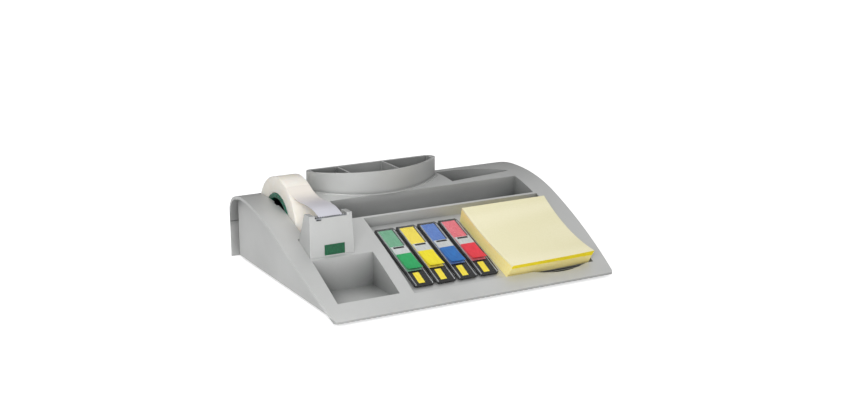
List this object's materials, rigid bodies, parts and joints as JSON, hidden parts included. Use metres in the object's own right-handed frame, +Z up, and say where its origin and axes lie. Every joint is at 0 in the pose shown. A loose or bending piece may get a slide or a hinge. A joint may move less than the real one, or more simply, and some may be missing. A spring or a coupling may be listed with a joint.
{
  "type": "desk organizer",
  "caption": "Desk organizer with a sloping deck: clip tray, tape dispenser, letter slot, pen cup, seats for notes and index flags, and a drawer that opens to the rear.",
  "frame": {"origin": "on the desk, under the middle of the organizer", "axes": "+Z up, -Y towards the person who uses it, +X to that person's right"},
  "size_m": [0.265, 0.209, 0.082],
  "materials": {
    "deck_grey": "fine satin moulded polystyrene",
    "cup_grey": "same satin grey as the deck",
    "base_grey": "dull darker grey",
    "foot_rubber": "dull black",
    "screw_steel": "zinc plated",
    "drawer_grey": "same satin grey as the deck",
    "nose_grey": "satin grey",
    "blade_steel": "bright cut steel",
    "label_green": "printed green, plain",
    "spool_black": "black",
    "core_green": "dark green",
    "tape_film": "translucent cream film",
    "holder_black": "black",
    "cover_clear": "clear",
    "flag_green": "green film",
    "flag_yellow": "yellow film",
    "flag_blue": "blue film",
    "flag_red": "red film",
    "pack_green": "green film under the cover",
    "pack_yellow": "yellow film under the cover",
    "pack_blue": "blue film under the cover",
    "pack_red": "red film under the cover",
    "note_paper": "pale yellow paper"
  },
  "bodies": {
    "case": {"top_shell": "deck_grey", "pen_cup": "cup_grey", "base_plate": "base_grey", "rubber_feet": "foot_rubber", "base_screws": "screw_steel", "cutter_nose": "nose_grey", "cutter_blade": "blade_steel", "nose_label": "label_green", "tape_strip": "tape_film"},
    "drawer": {"drawer": "drawer_grey"},
    "tape_roll": {"tape_spool": "spool_black", "tape_core": "core_green", "tape_winding": "tape_film"},
    "flag_unit_1": {"flag_base_1": "holder_black", "flag_pack_1": "pack_green", "flag_cover_1": "cover_clear", "flag_lead_1": "flag_green"},
    "flag_unit_2": {"flag_base_2": "holder_black", "flag_pack_2": "pack_yellow", "flag_cover_2": "cover_clear", "flag_lead_2": "flag_yellow"},
    "flag_unit_3": {"flag_base_3": "holder_black", "flag_pack_3": "pack_blue", "flag_cover_3": "cover_clear", "flag_lead_3": "flag_blue"},
    "flag_unit_4": {"flag_base_4": "holder_black", "flag_pack_4": "pack_red", "flag_cover_4": "cover_clear", "flag_lead_4": "flag_red"},
    "notes": {"note_pad": "note_paper", "note_top_sheets": "note_paper"}
  },
  "joints": [
    {"name": "drawer_slide", "type": "slide", "parent": "case", "child": "drawer", "axis": [0, 1, 0], "range_m": [0, 0.07]},
    {"name": "tape_spin", "type": "hinge", "parent": "case", "child": "tape_roll", "pos_m": [-0.099, 0.0355, 0.044], "axis": [1, 0, 0], "continuous": true},
    {"name": "flag_unit_1_lift", "type": "slide", "parent": "case", "child": "flag_unit_1", "axis": [0, -0.3584, 0.9336], "range_m": [0, 0.02]},
    {"name": "flag_unit_2_lift", "type": "slide", "parent": "case", "child": "flag_unit_2", "axis": [0, -0.3584, 0.9336], "range_m": [0, 0.02]},
    {"name": "flag_unit_3_lift", "type": "slide", "parent": "case", "child": "flag_unit_3", "axis": [0, -0.3584, 0.9336], "range_m": [0, 0.02]},
    {"name": "flag_unit_4_lift", "type": "slide", "parent": "case", "child": "flag_unit_4", "axis": [0, -0.3584, 0.9336], "range_m": [0, 0.02]},
    {"name": "notes_lift", "type": "slide", "parent": "case", "child": "notes", "axis": [0, -0.3584, 0.9336], "range_m": [0, 0.02]}
  ]
}
